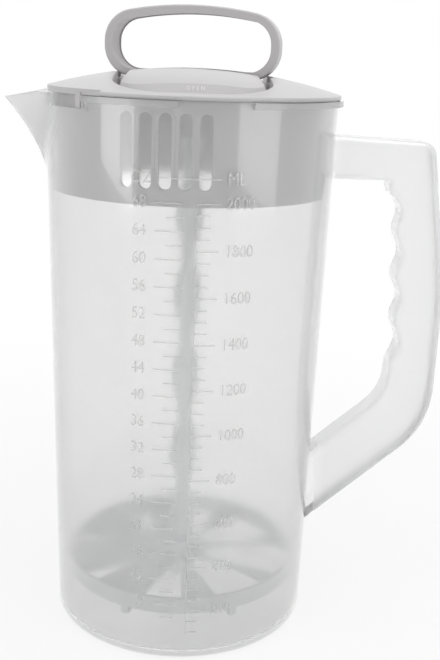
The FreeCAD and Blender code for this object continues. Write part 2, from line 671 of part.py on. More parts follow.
def twisted_solid(clearance, low, high):
    """The twisted shaft between two heights, grown by a clearance."""
    start = sheet_number(HUB_TOP)
    degrees_per_mm = 360 / s.twist_pitch
    steps = math.ceil((high - low) * degrees_per_mm / 15)
    sections = []
    for i in range(steps + 1):
        height = low + (high - low) * i / steps
        sections.append(twist_section(
            s.shaft_core_radius + clearance, s.fin_radius + clearance, s.fin_thickness + 2 * clearance,
            height, s.twist_phase + (height - start) * degrees_per_mm))
    return Part.makeLoft(sections, True, False)


def make_nut():
    tube = cylinder("nut_tube", "nut_radius", "nut_length", f"{NUT_TOP} - nut_length")
    collar = cylinder("nut_collar", "nut_radius + nut_collar_reach", "nut_collar_depth", NUT_SEAT)
    top = sheet_number(NUT_TOP)
    bore = solid("nut_bore", twisted_solid(s.nut_clearance, top - s.nut_length - 1, top + 1))
    return cut("drive_nut", fuse("nut_full", tube, collar), bore)


def make_retainer():
    retainer = turned_body(
        "nut_retainer",
        ring_section(
            "nut_radius + fit_gap", "nut_radius + retainer_reach",
            f"{LID_FLOOR_UNDER} - fit_gap - retainer_depth", f"{LID_FLOOR_UNDER} - fit_gap"))
    round_edges(
        retainer, "retainer_edge", "retainer_depth / 4",
        is_ring_at(
            s.nut_radius + s.retainer_reach,
            sheet_number(f"{LID_FLOOR_UNDER} - fit_gap - retainer_depth")))
    return retainer


def make_shaft():
    low, high = sheet_number(HUB_TOP), sheet_number(SHAFT_TOP)
    twist = solid("shaft_twist", twisted_solid(0, low, high))
    spigot_low = f"({HUB_LOW} - cap_socket + fit_gap)"
    spigot = cylinder("shaft_spigot", "spigot_radius", f"{HUB_TOP} + 1 - {spigot_low}", spigot_low)
    bore = cylinder("pin_bore", "pin_radius + fit_gap", "pin_grip + 2", f"{SHAFT_TOP} - pin_grip - 1")
    return cut("twisted_shaft", fuse("shaft_full", twist, spigot), bore)


def make_wheel():
    rim_high = "(wheel_lift + wheel_rim_depth)"
    rim_section = ring_section("wheel_radius - wheel_rim_wall", "wheel_radius", "wheel_lift", rim_high)
    rim = turned_body("wheel_rim", rim_section)
    round_edges(rim, "rim_edges", "wheel_rim_wall / 4", lambda edge: edge.BoundBox.ZLength < 0.01)
    hub = turned_body("wheel_hub", ring_section("spigot_radius + fit_gap", "hub_radius", HUB_LOW, HUB_TOP))
    round_edges(hub, "hub_edge", "hub_radius / 10", is_ring_at(s.hub_radius, sheet_number(HUB_TOP)))
    blades = [blade(i) for i in range(int(s.blade_count))]
    nubs = []
    for i, angle in enumerate((s.nub_angle, -s.nub_angle, 180 + s.nub_angle, 180 - s.nub_angle)):
        nub = doc.addObject("Part::Box", f"nub_{i + 1}")
        bind(
            nub, Length="nub_size", Width="nub_size", Height="nub_size + wheel_rim_wall / 2")
        turn = FreeCAD.Rotation(point(0, 0, 1), angle - s.lid_rest_turn)
        nub.Placement.Rotation = turn
        nub.Placement.Base = turn.multVec(
            point(-s.nub_size / 2, -s.wheel_radius + 0.1, s.wheel_lift - s.nub_size))
        nubs.append(nub)
    return fuse("mixing_wheel", rim, hub, *blades, *nubs)


def blade(number):
    """One blade: a ramp from the hub to the rim, falling from the rim's top to its bottom."""
    inner = s.hub_radius - 1
    outer = s.wheel_radius - s.wheel_rim_wall / 2
    sweep = math.radians(s.blade_angle)
    slope = math.atan(s.wheel_rim_depth / (sweep * s.wheel_radius))
    half = s.blade_thickness / math.cos(slope) / 2
    middle = math.radians(s.blade_phase + number * 360 / s.blade_count)
    top = s.wheel_lift + s.wheel_rim_depth - half
    fall = s.wheel_rim_depth - 2 * half
    steps = 6
    sections = []
    for i in range(steps + 1):
        angle = middle + sweep * (i / steps - 0.5)
        height = top - fall * i / steps
        along = point(math.cos(angle), math.sin(angle), 0)
        corners = [
            along * inner + point(0, 0, height - half), along * outer + point(0, 0, height - half),
            along * outer + point(0, 0, height + half), along * inner + point(0, 0, height + half)]
        sections.append(Part.makePolygon(corners + corners[:1]))
    return solid(f"blade_{number + 1}", Part.makeLoft(sections, True, False))


def make_cap():
    low = f"({HUB_LOW} - cap_depth)"
    cap = turned_body(
        "wheel_cap",
        [
            ("0", low), ("cap_radius", low), ("cap_radius", f"{HUB_LOW} - fit_gap"),
            ("spigot_radius + fit_gap", f"{HUB_LOW} - fit_gap"),
            ("spigot_radius + fit_gap", f"{HUB_LOW} - cap_socket"), ("0", f"{HUB_LOW} - cap_socket"),
        ])
    round_edges(cap, "cap_edge", "cap_depth / 4", is_ring_at(s.cap_radius, sheet_number(low)))
    return cap


# Loop handle

def loop_outline():
    """The loop's outside, seen along Y: a flat bottom, round ends and a crowned top."""
    low = sheet_number(LOOP_UNDER)
    high = low + s.loop_height
    half = s.loop_length / 2
    crown_radius = (s.loop_shoulder ** 2 + s.loop_crown ** 2) / (2 * s.loop_crown)
    tilt = math.asin(s.loop_shoulder / crown_radius)
    shoulder = high - s.loop_crown
    peak = shoulder + s.loop_shoulder * math.tan(tilt)
    end_x = half - s.loop_shoulder
    corner = shoulder - end_x * math.tan(tilt)
    end_radius = end_x / math.cos(tilt) / math.tan((math.pi / 2 - tilt) / 2)
    foot_radius = half - s.loop_foot
    return rounded_wire([
        (-half, low, foot_radius), (half, low, foot_radius), (half, corner, end_radius),
        (0, peak, crown_radius), (-half, corner, end_radius)])


def make_loop():
    outside = loop_outline()
    strap = Part.Face(outside).extrude(point(0, s.loop_width, 0))
    strap.translate(point(0, -s.loop_width / 2, 0))
    long_edges = [edge for edge in strap.Edges if edge.BoundBox.YLength < 0.01]
    strap = strap.makeFillet(s.loop_edge_radius, long_edges)
    window_outline = outside.makeOffset2D(-s.loop_thickness - s.loop_lip_rise)
    window = Part.Face(window_outline).extrude(point(0, s.loop_width + 2, 0))
    window.translate(point(0, -s.loop_width / 2 - 1, 0))
    floor_width = s.loop_width - 2 * s.loop_lip_width
    trough = Part.Face(outside.makeOffset2D(-s.loop_thickness)).extrude(point(0, floor_width, 0))
    trough.translate(point(0, -floor_width / 2, 0))
    opening = fuse("loop_window", solid("lip_window", window), solid("trough", trough))
    loop = cut("loop_strap", solid("loop_block", strap), opening)
    hole = cylinder("loop_hole", "pin_radius + pin_clearance", "loop_thickness + 2", f"{LOOP_UNDER} - 1")
    return cut("loop_handle", loop, hole)


def make_pin():
    low = f"({SHAFT_TOP} - pin_grip)"
    head_top = f"({HEAD_UNDER} + pin_head_depth)"
    pin = turned_body(
        "swivel_pin",
        [
            ("0", low), ("pin_radius", low), ("pin_radius", HEAD_UNDER), ("pin_head_radius", HEAD_UNDER),
            ("pin_head_radius", head_top), ("0", head_top),
        ])
    round_edges(
        pin, "pin_head_edge", "pin_head_depth / 3", is_ring_at(s.pin_head_radius, sheet_number(head_top)))
    return pin


def make_washers():
    inner = "pin_radius + pin_clearance"
    lower = f"({LOOP_UNDER} - washer_gap - washer_thickness)"
    upper = f"({LOOP_UNDER} + loop_thickness + washer_gap)"
    rings = [
        turned_body(name, ring_section(inner, "washer_radius", low, f"{low} + washer_thickness"))
        for name, low in (("lower_washer", lower), ("upper_washer", upper))
    ]
    return fuse("swivel_washers", *rings)


with_lid = [
    make_lid(), make_sleeve(), make_nut(), make_retainer(), make_loop(), make_washers(), make_pin(),
    make_shaft(), make_wheel(), make_cap(),
]
for piece in with_lid:
    turn_about_z(piece, s.lid_rest_turn)
pieces = [make_jug()] + with_lid

doc.recompute()
for thing in doc.Objects:
    if "Invalid" in thing.State or "Error" in thing.State:
        raise SystemExit(f"{thing.Label} did not build: {thing.State}")
for piece in pieces:
    shape = piece.Shape
    if shape.isNull() or not shape.isValid() or shape.Volume <= 0:
        raise SystemExit(f"{piece.Label} has no valid shape")
    box_size = shape.BoundBox
    print(
        piece.Label, len(shape.Solids), "solid", round(shape.Volume / 1000, 2), "cm3, z",
        round(box_size.ZMin, 2), "to", round(box_size.ZMax, 2))

os.makedirs("parts", exist_ok=True)
for piece in pieces:
    piece.Shape.exportStep(f"parts/{piece.Label}.step")
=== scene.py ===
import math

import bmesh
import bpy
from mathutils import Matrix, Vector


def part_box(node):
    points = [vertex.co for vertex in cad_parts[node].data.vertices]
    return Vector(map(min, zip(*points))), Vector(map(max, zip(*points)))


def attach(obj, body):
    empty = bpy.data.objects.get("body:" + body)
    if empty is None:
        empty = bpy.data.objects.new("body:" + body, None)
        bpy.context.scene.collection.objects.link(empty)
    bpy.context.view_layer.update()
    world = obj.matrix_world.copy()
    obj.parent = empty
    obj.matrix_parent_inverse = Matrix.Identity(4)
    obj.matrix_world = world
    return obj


bl_info = {
    "name": "Formula mixing pitcher",
    "version": (1, 0, 0),
    "blender": (4, 5, 0),
    "location": "3D View > Sidebar > Pitcher",
    "description": "Finishes, moulded volume scale and studio for the mixing pitcher",
    "category": "Object",
}

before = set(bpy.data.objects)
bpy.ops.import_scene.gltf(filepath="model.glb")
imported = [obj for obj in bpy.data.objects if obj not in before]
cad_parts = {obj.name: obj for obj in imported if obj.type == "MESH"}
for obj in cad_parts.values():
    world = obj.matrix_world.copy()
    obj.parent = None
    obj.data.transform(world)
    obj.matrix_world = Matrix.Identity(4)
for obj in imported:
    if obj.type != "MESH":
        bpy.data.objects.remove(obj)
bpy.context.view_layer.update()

MM = 0.001
MILLILITRE = 1e-6
FLUID_OUNCE = 29.57 * MILLILITRE
MERGE_DISTANCE = 1e-6
JUG_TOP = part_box("jug_body")[1].z

# Width of a letter against the font's own, and faces in each of its curves
LETTER_WIDTH = 0.85
LETTER_CURVE = 3

# Gap between the letters of the lid's word against the font's own, and how much paler its letters are
WORD_SPACING = 1.7
WORD_PALER = 1.5

# Noise in the plastics: marks a few centimetres long from the melt's flow, and a fine grain
LID_FLOW, LID_FLOW_STRETCH = 28.0, (1, 1, 0.35)
JUG_FLOW, JUG_FLOW_STRETCH = 16.0, (1, 1, 0.3)
GRAIN = 900.0
GRAIN_STRENGTH, GRAIN_DEPTH = 0.08, 0.02 * MM

# Longest flat stretch of a mark, which bends round the jug, and the upright line's width against a mark's
BAR_STRETCH = 2 * MM
UPRIGHT_WIDTH = 0.6

# Way out from the jug's wall over which its plastic turns satin, and over which the handle's painted shade
# sets in
SATIN_WAY = 1.2 * MM
HANDLE_SHADE_WAY = 4 * MM

# Lamps: where each stands, what it points at, its sides in metres, and its roll about its beam
TOP_LAMP = {"place": (0.1, -0.1, 1.1), "target": (0, 0, 0.12), "sides": (0.9, 0.9), "roll": 0.0}
LEFT_LAMP = {"place": (-0.477, -0.364, 0.39), "target": (0, 0, 0.39), "sides": (0.29, 0.56), "roll": -0.15}
RIGHT_LAMP = {"place": (0.475, -0.367, 0.385), "target": (0, 0, 0.385), "sides": (0.36, 0.56), "roll": -0.07}


# Shader maths

class Value:
    """A shader socket that takes part in sums."""

    def __init__(self, tree, socket):
        self.tree = tree
        self.socket = socket

    def _sum(self, operation, *terms):
        return self.tree.node("ShaderNodeMath", {"operation": operation}, terms)[0]

    def __add__(self, other):
        return self._sum("ADD", self, other)

    def __radd__(self, other):
        return self._sum("ADD", other, self)

    def __sub__(self, other):
        return self._sum("SUBTRACT", self, other)

    def __rsub__(self, other):
        return self._sum("SUBTRACT", other, self)

    def __mul__(self, other):
        return self._sum("MULTIPLY", self, other)

    def __rmul__(self, other):
        return self._sum("MULTIPLY", other, self)

    def clamp(self):
        return self.tree.node("ShaderNodeClamp", {}, {"Value": self})[0]


class Tree:
    """A material's or the world's nodes."""

    def __init__(self, owner):
        owner.use_nodes = True
        self.nodes = owner.node_tree.nodes
        self.links = owner.node_tree.links
        self.nodes.clear()

    def node(self, kind, settings, inputs):
        """Adds a node with its settings and with values or links for its sockets, and returns its outputs."""
        node = self.nodes.new(kind)
        for name, setting in settings.items():
            setattr(node, name, setting)
        pairs = inputs.items() if isinstance(inputs, dict) else enumerate(inputs)
        for key, value in pairs:
            if isinstance(value, Value):
                self.links.new(value.socket, node.inputs[key])
            else:
                node.inputs[key].default_value = value
        return [Value(self, socket) for socket in node.outputs]

    def place(self):
        """Object coordinates."""
        return self.node("ShaderNodeTexCoord", {}, {})[3]

    def noise(self, scale, detail, stretch=(1, 1, 1)):
        """Noise over the object, from 0 to 1, finer with a larger scale."""
        mapped = self.node("ShaderNodeMapping", {}, {"Vector": self.place(), "Scale": stretch})[0]
        return self.node("ShaderNodeTexNoise", {}, {"Vector": mapped, "Scale": scale, "Detail": detail})[0]

    def shade(self, amount, dark, light):
        """A colour between two others."""
        ends = [end if isinstance(end, Value) else (*end, 1) for end in (dark, light)]
        return self.node("ShaderNodeMix", {"data_type": "RGBA"}, {0: amount, 6: ends[0], 7: ends[1]})[2]

    def bump(self, height, strength, distance):
        return self.node(
            "ShaderNodeBump", {}, {"Height": height, "Strength": strength, "Distance": distance})[0]


def scaled(color, factor):
    """A colour made darker or lighter."""
    return tuple(min(channel * factor, 1.0) for channel in color)


def moulded_plastic(name, color, roughness):
    """An opaque moulded plastic: faint flow marks in its colour, an uneven gloss and a fine grain."""
    material = bpy.data.materials.new(name)
    tree = Tree(material)
    flow = tree.noise(LID_FLOW, 3.0, LID_FLOW_STRETCH)
    normal = tree.bump(tree.noise(GRAIN, 2.0), GRAIN_STRENGTH, GRAIN_DEPTH)
    shader = tree.node("ShaderNodeBsdfPrincipled", {}, {
        "Base Color": tree.shade(flow, scaled(color, 0.965), scaled(color, 1.03)),
        "Roughness": roughness - 0.05 + flow * 0.1,
        "IOR": 1.5,
        "Normal": normal,
    })[0]
    tree.node("ShaderNodeOutputMaterial", {}, {"Surface": shader})
    return material


def clear_plastic(name, settings, transmission):
    """The jug's clear plastic: hazy, under a glossy face, satin where it stands out from the wall, and darker
    over the handle as painted shade.
    """
    material = bpy.data.materials.new(name)
    tree = Tree(material)
    flow = tree.noise(JUG_FLOW, 3.0, JUG_FLOW_STRETCH)
    level = tree.node("ShaderNodeVectorMath", {"operation": "MULTIPLY"}, {0: tree.place(), 1: (1, 1, 0)})[0]
    away = tree.node("ShaderNodeVectorMath", {"operation": "LENGTH"}, [level])[1]
    satin = tree.node("ShaderNodeMapRange", {}, {
        "Value": away, "From Min": settings.rim_radius, "From Max": settings.rim_radius + SATIN_WAY})[0]
    side = tree.node("ShaderNodeSeparateXYZ", {}, [tree.place()])[0]
    # Painted shade: beyond the rim on the handle's side, the clear plastic's colour turns darker, towards the
    # handle's colour
    handle_shade = tree.node("ShaderNodeMapRange", {}, {
        "Value": side, "From Min": settings.rim_radius, "From Max": settings.rim_radius + HANDLE_SHADE_WAY})[0]
    clear = tree.shade(flow, scaled(settings.clear_color, 0.985), scaled(settings.clear_color, 1.01))
    shader = tree.node("ShaderNodeBsdfPrincipled", {}, {
        # Flow marks in the clear colour, blended into the painted shade over the handle
        "Base Color": tree.shade(handle_shade, clear, settings.grip_color),
        "Roughness": settings.haze - 0.02 + flow * 0.04 + satin * settings.satin,
        "IOR": 1.46,
        "Transmission Weight": transmission,
        "Coat Weight": 1.0,
        "Coat Roughness": 0.03,
        "Coat IOR": 1.6,
    })[0]
    tree.node("ShaderNodeOutputMaterial", {}, {"Surface": shader})
    return material


def wear(node, material):
    """Gives a CAD node a finish."""
    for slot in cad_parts[node].material_slots:
        slot.material = material


# Settings

class JugSettings(bpy.types.PropertyGroup):
    """The jug's clear plastic and its size where the scale lies."""

    base_radius: bpy.props.FloatProperty(
        name="Base radius", description="Outside of the jug at its base", default=57.3 * MM, unit="LENGTH")
    rim_radius: bpy.props.FloatProperty(
        name="Rim radius", description="Outside of the jug at its rim", default=61.7 * MM, unit="LENGTH")
    wall: bpy.props.FloatProperty(
        name="Wall", description="Thickness of the jug's wall", default=2.0 * MM, unit="LENGTH")
    floor: bpy.props.FloatProperty(
        name="Floor", description="Thickness of the jug's floor", default=2.8 * MM, unit="LENGTH")
    clear_color: bpy.props.FloatVectorProperty(
        name="Colour", description="Tint of the clear plastic", subtype="COLOR", default=(0.99, 0.99, 0.99))
    # Painted shade: a darker colour of the same clear plastic, laid over the handle
    grip_color: bpy.props.FloatVectorProperty(
        name="Handle", description="Tint of the clear plastic in the handle", subtype="COLOR",
        default=(0.93, 0.93, 0.935))
    clear_transmission: bpy.props.FloatProperty(
        name="Transmission", description="How much light goes on through a face", default=0.88,
        subtype="FACTOR")
    haze: bpy.props.FloatProperty(
        name="Haze", description="Blur of what lies behind the wall", default=0.17, subtype="FACTOR")
    satin: bpy.props.FloatProperty(
        name="Satin", description="Extra blur in the handle, spout and rim flange", default=0.35,
        subtype="FACTOR")


class ScaleSettings(bpy.types.PropertyGroup):
    """The raised volume scale on the jug's front."""

    relief: bpy.props.FloatProperty(
        name="Relief", description="How far the marks stand out of the wall", default=0.08 * MM,
        unit="LENGTH")
    stroke: bpy.props.FloatProperty(
        name="Stroke", description="Height of a mark's line", default=0.45 * MM, unit="LENGTH")
    digit_height: bpy.props.FloatProperty(
        name="Digits", description="Height of the numbers", default=4.8 * MM, unit="LENGTH")
    transmission: bpy.props.FloatProperty(
        name="Transmission", description="How much light goes on through a face of a mark", default=0.65,
        subtype="FACTOR")
    displaced: bpy.props.FloatProperty(
        name="Displaced", description="Millilitres that the wheel and shaft displace", default=8.0)
    metric_low: bpy.props.IntProperty(
        name="Lowest millilitres", description="Lowest mark in millilitres", default=100)
    ounce_low: bpy.props.IntProperty(
        name="Lowest ounces", description="Lowest mark in fluid ounces", default=6)
    metric_top: bpy.props.IntProperty(
        name="Millilitres", description="Highest mark in millilitres", default=2000)
    ounce_top: bpy.props.IntProperty(
        name="Ounces", description="Highest mark in fluid ounces", default=68)
    header_rise: bpy.props.FloatProperty(
        name="Header", description="Highest millilitre mark to the line and units above it", default=9.3 * MM,
        unit="LENGTH")
    ounce_drop: bpy.props.FloatProperty(
        name="Ounce drop", description="How much lower the ounce marks sit than their volume",
        default=1.0 * MM, unit="LENGTH")
    header_length: bpy.props.FloatProperty(
        name="Header line", description="Angle that the line above the marks spans", subtype="ANGLE",
        default=math.radians(23))
    header_shift: bpy.props.FloatProperty(
        name="Ounce unit", description="Angle from the ounce numbers' end to the end of their unit",
        subtype="ANGLE", default=math.radians(2))
    metric_long: bpy.props.FloatProperty(
        name="Long millilitre mark", description="Angle that a numbered mark spans", subtype="ANGLE",
        default=math.radians(8.2))
    metric_short: bpy.props.FloatProperty(
        name="Short millilitre mark", description="Angle that a plain mark spans", subtype="ANGLE",
        default=math.radians(4.9))
    ounce_long: bpy.props.FloatProperty(
        name="Long ounce mark", description="Angle that a numbered mark spans", subtype="ANGLE",
        default=math.radians(10.2))
    ounce_short: bpy.props.FloatProperty(
        name="Short ounce mark", description="Angle that a plain mark spans", subtype="ANGLE",
        default=math.radians(6.1))
    metric_words: bpy.props.FloatProperty(
        name="Millilitre words", description="Angle where the millilitre numbers start", subtype="ANGLE",
        default=math.radians(13.3))
    ounce_words: bpy.props.FloatProperty(
        name="Ounce words", description="Angle where the ounce numbers end", subtype="ANGLE",
        default=math.radians(-15.6))
    metric_start: bpy.props.FloatProperty(
        name="Millilitre line", description="Angle where the millilitre marks start", subtype="ANGLE",
        default=math.radians(2.8))
    ounce_start: bpy.props.FloatProperty(
        name="Ounce line", description="Angle where the ounce marks start", subtype="ANGLE",
        default=math.radians(-2.4))


class FinishSettings(bpy.types.PropertyGroup):
    """Colours of the opaque plastics."""

    lid_color: bpy.props.FloatVectorProperty(
        name="Lid", description="Plastic of the lid", subtype="COLOR", default=(0.585, 0.575, 0.578))
    loop_color: bpy.props.FloatVectorProperty(
        name="Loop", description="Plastic of the loop handle", subtype="COLOR", default=(0.53, 0.515, 0.52))
    strainer_color: bpy.props.FloatVectorProperty(
        name="Strainer", description="Plastic of the strainer sleeve", subtype="COLOR",
        default=(0.50, 0.50, 0.502))
    drive_color: bpy.props.FloatVectorProperty(
        name="Drive", description="Plastic of the nut and washers", subtype="COLOR",
        default=(0.58, 0.58, 0.58))
    mixer_color: bpy.props.FloatVectorProperty(
        name="Mixer", description="Plastic of the shaft and wheel", subtype="COLOR",
        default=(0.78, 0.79, 0.80))
    island_slope: bpy.props.FloatProperty(
        name="Island slope", description="Lean of the island's side", subtype="ANGLE",
        default=math.radians(25))
    word_height: bpy.props.FloatProperty(
        name="Word", description="Height of the word's letters", default=1.6 * MM, unit="LENGTH")
    word_relief: bpy.props.FloatProperty(
        name="Word relief", description="How far the letters stand out", default=0.12 * MM, unit="LENGTH")
    word_place: bpy.props.FloatVectorProperty(
        name="Word place", description="Middle of the word on the island's front", subtype="TRANSLATION",
        unit="LENGTH", default=(1.0 * MM, -47.8 * MM, 240.1 * MM))


class StudioSettings(bpy.types.PropertyGroup):
    """Camera and light."""

    camera_place: bpy.props.FloatVectorProperty(
        name="Camera", description="Where the camera stands", subtype="TRANSLATION", unit="LENGTH",
        default=(0.0, -437.48 * MM, 253.30 * MM))
    camera_yaw: bpy.props.FloatProperty(
        name="Yaw", description="Camera's turn to the right", subtype="ANGLE", default=0.0348)
    camera_pitch: bpy.props.FloatProperty(
        name="Pitch", description="Camera's tilt downwards", subtype="ANGLE", default=0.2689)
    camera_roll: bpy.props.FloatProperty(
        name="Roll", description="Camera's roll", subtype="ANGLE", default=0.0366)
    focal_length: bpy.props.FloatProperty(
        name="Focal length", description="Lens on the tall sensor", default=54.78,
        subtype="DISTANCE_CAMERA")
    sensor: bpy.props.FloatProperty(
        name="Sensor", description="Long side of the sensor, in millimetres", default=36.0)
    world_strength: bpy.props.FloatProperty(
        name="World", description="Light from all around", default=0.42)
    top_light: bpy.props.FloatProperty(
        name="Top lamp", description="Power of the lamp above", default=5.5, unit="POWER")
    left_light: bpy.props.FloatProperty(
        name="Left lamp", description="Power of the lamp on the left", default=0.8, unit="POWER")
    right_light: bpy.props.FloatProperty(
        name="Right lamp", description="Power of the lamp on the right", default=0.65, unit="POWER")
    floor_radius: bpy.props.FloatProperty(
        name="Floor radius", description="Outside of the round floor", default=3.0, unit="LENGTH")
    floor_tone: bpy.props.FloatProperty(
        name="Floor tone", description="How pale the floor's paper is", default=0.85, subtype="FACTOR")
    near_white: bpy.props.FloatProperty(
        name="Near white", description="Share of white in the floor around the pitcher", default=0.85,
        subtype="FACTOR")
    under_white: bpy.props.FloatProperty(
        name="White below", description="Share of that white seen through the pitcher's base", default=0.45,
        subtype="FACTOR")
    floor_seat: bpy.props.FloatProperty(
        name="Floor seat", description="How far the floor reaches into the jug, so that no air shows there",
        default=0.05 * MM, unit="LENGTH")
    under_floor: bpy.props.FloatProperty(
        name="Under the pitcher", description="Floor that lies in the pitcher's own shade", default=0.06,
        unit="LENGTH")
    near_floor: bpy.props.FloatProperty(
        name="Near floor", description="Floor around the pitcher that shows its own tone", default=0.1,
        unit="LENGTH")
    far_floor: bpy.props.FloatProperty(
        name="Far floor", description="Where the floor meets the white around it", default=0.5, unit="LENGTH")


# Volume scale

def jug_radius(settings, height):
    """Outside radius of the jug at a height."""
    return settings.base_radius + (settings.rim_radius - settings.base_radius) * height / JUG_TOP


def fill_height(settings, volume):
    """Height of the surface of a volume inside the tapered jug."""
    slope = (settings.rim_radius - settings.base_radius) / JUG_TOP
    start = jug_radius(settings, settings.floor) - settings.wall
    radius = (start ** 3 + 3 * slope * volume / math.pi) ** (1 / 3)
    return settings.floor + (radius - start) / slope


def add_bar(mesh, centre_x, centre_z, width, height, depth):
    """A raised line on the flat scale: X runs along the wall, Z up, and -Y out of it."""
    made = bmesh.ops.create_cube(mesh, size=1.0)["verts"]
    bmesh.ops.scale(mesh, vec=(width, 2 * depth, height), verts=made)
    bmesh.ops.translate(mesh, vec=(centre_x, 0, centre_z), verts=made)
    edges = {edge for vert in made for edge in vert.link_edges}
    lengthwise = [edge for edge in edges if abs(edge.verts[0].co.x - edge.verts[1].co.x) > MERGE_DISTANCE]
    stretches = max(1, round(width / BAR_STRETCH))
    if stretches > 1:
        bmesh.ops.subdivide_edges(mesh, edges=lengthwise, cuts=stretches - 1, use_grid_fill=True)


def lettering(words, height, depth, align, spacing=1.0):
    """A mesh of raised characters in the XY plane that face +Z, as tall as the height asks."""
    text = bpy.data.curves.new("letters", "FONT")
    text.body = words
    text.align_x = align
    text.align_y = "CENTER"
    text.space_character = spacing
    text.resolution_u = LETTER_CURVE
    holder = bpy.data.objects.new("letters", text)
    holder.data.extrude = 1.0
    mesh = bpy.data.meshes.new_from_object(holder)
    tall = max(vert.co.y for vert in mesh.vertices) - min(vert.co.y for vert in mesh.vertices)
    size = height / tall
    mesh.transform(Matrix.Diagonal((size * LETTER_WIDTH, size, depth, 1)))
    bpy.data.objects.remove(holder)
    bpy.data.curves.remove(text)
    return mesh


def add_words(target, words, scale, align, place):
    """Joins raised characters that stand on the flat scale to a bmesh."""
    mesh = lettering(words, scale.digit_height, scale.relief, align)
    mesh.transform(Matrix.Translation(place) @ Matrix.Rotation(math.radians(90), 4, "X"))
    target.from_mesh(mesh)
    bpy.data.meshes.remove(mesh)


def wrap_on_jug(mesh, settings):
    """Bends a flat scale round the jug's wall."""
    for vert in mesh.verts:
        along, out, height = vert.co.x, -vert.co.y, vert.co.z
        radius = jug_radius(settings, height)
        angle = along / radius
        vert.co = Vector(((radius + out) * math.sin(angle), -(radius + out) * math.cos(angle), height))


def finish_piece(name, mesh, material, body):
    """Turns a bmesh into a piece of the pitcher."""
    bmesh.ops.remove_doubles(mesh, verts=mesh.verts, dist=MERGE_DISTANCE)
    bmesh.ops.recalc_face_normals(mesh, faces=mesh.faces)
    data = bpy.data.meshes.new(name)
    mesh.to_mesh(data)
    mesh.free()
    piece = bpy.data.objects.new(name, data)
    bpy.context.scene.collection.objects.link(piece)
    data.materials.append(material)
    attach(piece, body)
    return piece


def add_mark(mesh, jug, scale, height, start, span):
    """One mark of a column, from its start angle over a span that runs left where it is negative."""
    radius = jug_radius(jug, height)
    add_bar(mesh, radius * (start + span / 2), height, radius * abs(span), scale.stroke, scale.relief)


def add_number(mesh, jug, scale, words, align, angle, height):
    """The words beside a mark."""
    add_words(mesh, words, scale, align, Vector((jug_radius(jug, height) * angle, 0, height)))


def metric_marks(mesh, jug, scale):
    """A mark at every 50 millilitres, with a number at every 200."""
    for millilitres in range(scale.metric_low, scale.metric_top + 1, 50):
        height = fill_height(jug, (millilitres + scale.displaced) * MILLILITRE)
        named = millilitres % 200 == 0
        span = scale.metric_long if named else scale.metric_short
        add_mark(mesh, jug, scale, height, scale.metric_start, span)
        if named:
            add_number(mesh, jug, scale, str(millilitres), "LEFT", scale.metric_words, height)


def ounce_marks(mesh, jug, scale):
    """A mark at every 2 fluid ounces, with a number at every 4."""
    for ounces in range(scale.ounce_low, scale.ounce_top + 1, 2):
        volume = ounces * FLUID_OUNCE + scale.displaced * MILLILITRE
        height = fill_height(jug, volume) - scale.ounce_drop
        named = ounces % 4 == 0
        span = scale.ounce_long if named else scale.ounce_short
        add_mark(mesh, jug, scale, height, scale.ounce_start, -span)
        if named:
            add_number(mesh, jug, scale, str(ounces), "RIGHT", scale.ounce_words, height)


def header(mesh, jug, scale):
    """The line above both columns, with their units, and the upright that the millilitre marks start from."""
    top = fill_height(jug, (scale.metric_top + scale.displaced) * MILLILITRE)
    low = fill_height(jug, scale.metric_low * MILLILITRE)
    line = top + scale.header_rise
    add_number(mesh, jug, scale, "OZ", "RIGHT", scale.ounce_words + scale.header_shift, line)
    add_number(mesh, jug, scale, "ML", "LEFT", scale.metric_words, line)
    add_mark(mesh, jug, scale, line, -scale.header_length / 2, scale.header_length)
    add_upright(mesh, jug_radius(jug, line) * scale.metric_start, low, top, scale)


def add_upright(mesh, along, low, high, scale):
    """The line that the millilitre marks start from."""
    made = bmesh.ops.create_cube(mesh, size=1.0)["verts"]
    bmesh.ops.scale(mesh, vec=(scale.stroke * UPRIGHT_WIDTH, 2 * scale.relief, high - low), verts=made)
    bmesh.ops.translate(mesh, vec=(along, 0, (low + high) / 2), verts=made)


# Pieces

class PITCHER_OT_jug(bpy.types.Operator):
    """Gives the jug its hazy clear plastic"""

    bl_idname = "pitcher.jug"
    bl_label = "Jug"

    def execute(self, context):
        jug = context.scene.pitcher_jug
        wear("jug_body", clear_plastic("clear_plastic", jug, jug.clear_transmission))
        return {"FINISHED"}


class PITCHER_OT_scale(bpy.types.Operator):
    """Moulds the volume scale on the jug's front"""

    bl_idname = "pitcher.scale"
    bl_label = "Volume scale"

    def execute(self, context):
        jug, scale = context.scene.pitcher_jug, context.scene.pitcher_scale
        mesh = bmesh.new()
        metric_marks(mesh, jug, scale)
        ounce_marks(mesh, jug, scale)
        header(mesh, jug, scale)
        wrap_on_jug(mesh, jug)
        material = clear_plastic("scale_plastic", jug, scale.transmission)
        finish_piece("volume_scale", mesh, material, "jug")
        return {"FINISHED"}


def turn_word(mesh, finish):
    """Raised letters on the sloping front of the island in the middle of the lid."""
    letters = lettering("OPEN", finish.word_height, finish.word_relief, "CENTER", WORD_SPACING)
    lean = math.radians(90) - finish.island_slope
    letters.transform(Matrix.Translation(finish.word_place) @ Matrix.Rotation(lean, 4, "X"))
    mesh.from_mesh(letters)
    bpy.data.meshes.remove(letters)


class PITCHER_OT_word(bpy.types.Operator):
    """Moulds the word on the front of the lid"""

    bl_idname = "pitcher.word"
    bl_label = "Lid's word"

    def execute(self, context):
        finish = context.scene.pitcher_finish
        mesh = bmesh.new()
        turn_word(mesh, finish)
        material = moulded_plastic("word_plastic", scaled(finish.lid_color, WORD_PALER), 0.3)
        finish_piece("lid_word", mesh, material, "lid")
        return {"FINISHED"}


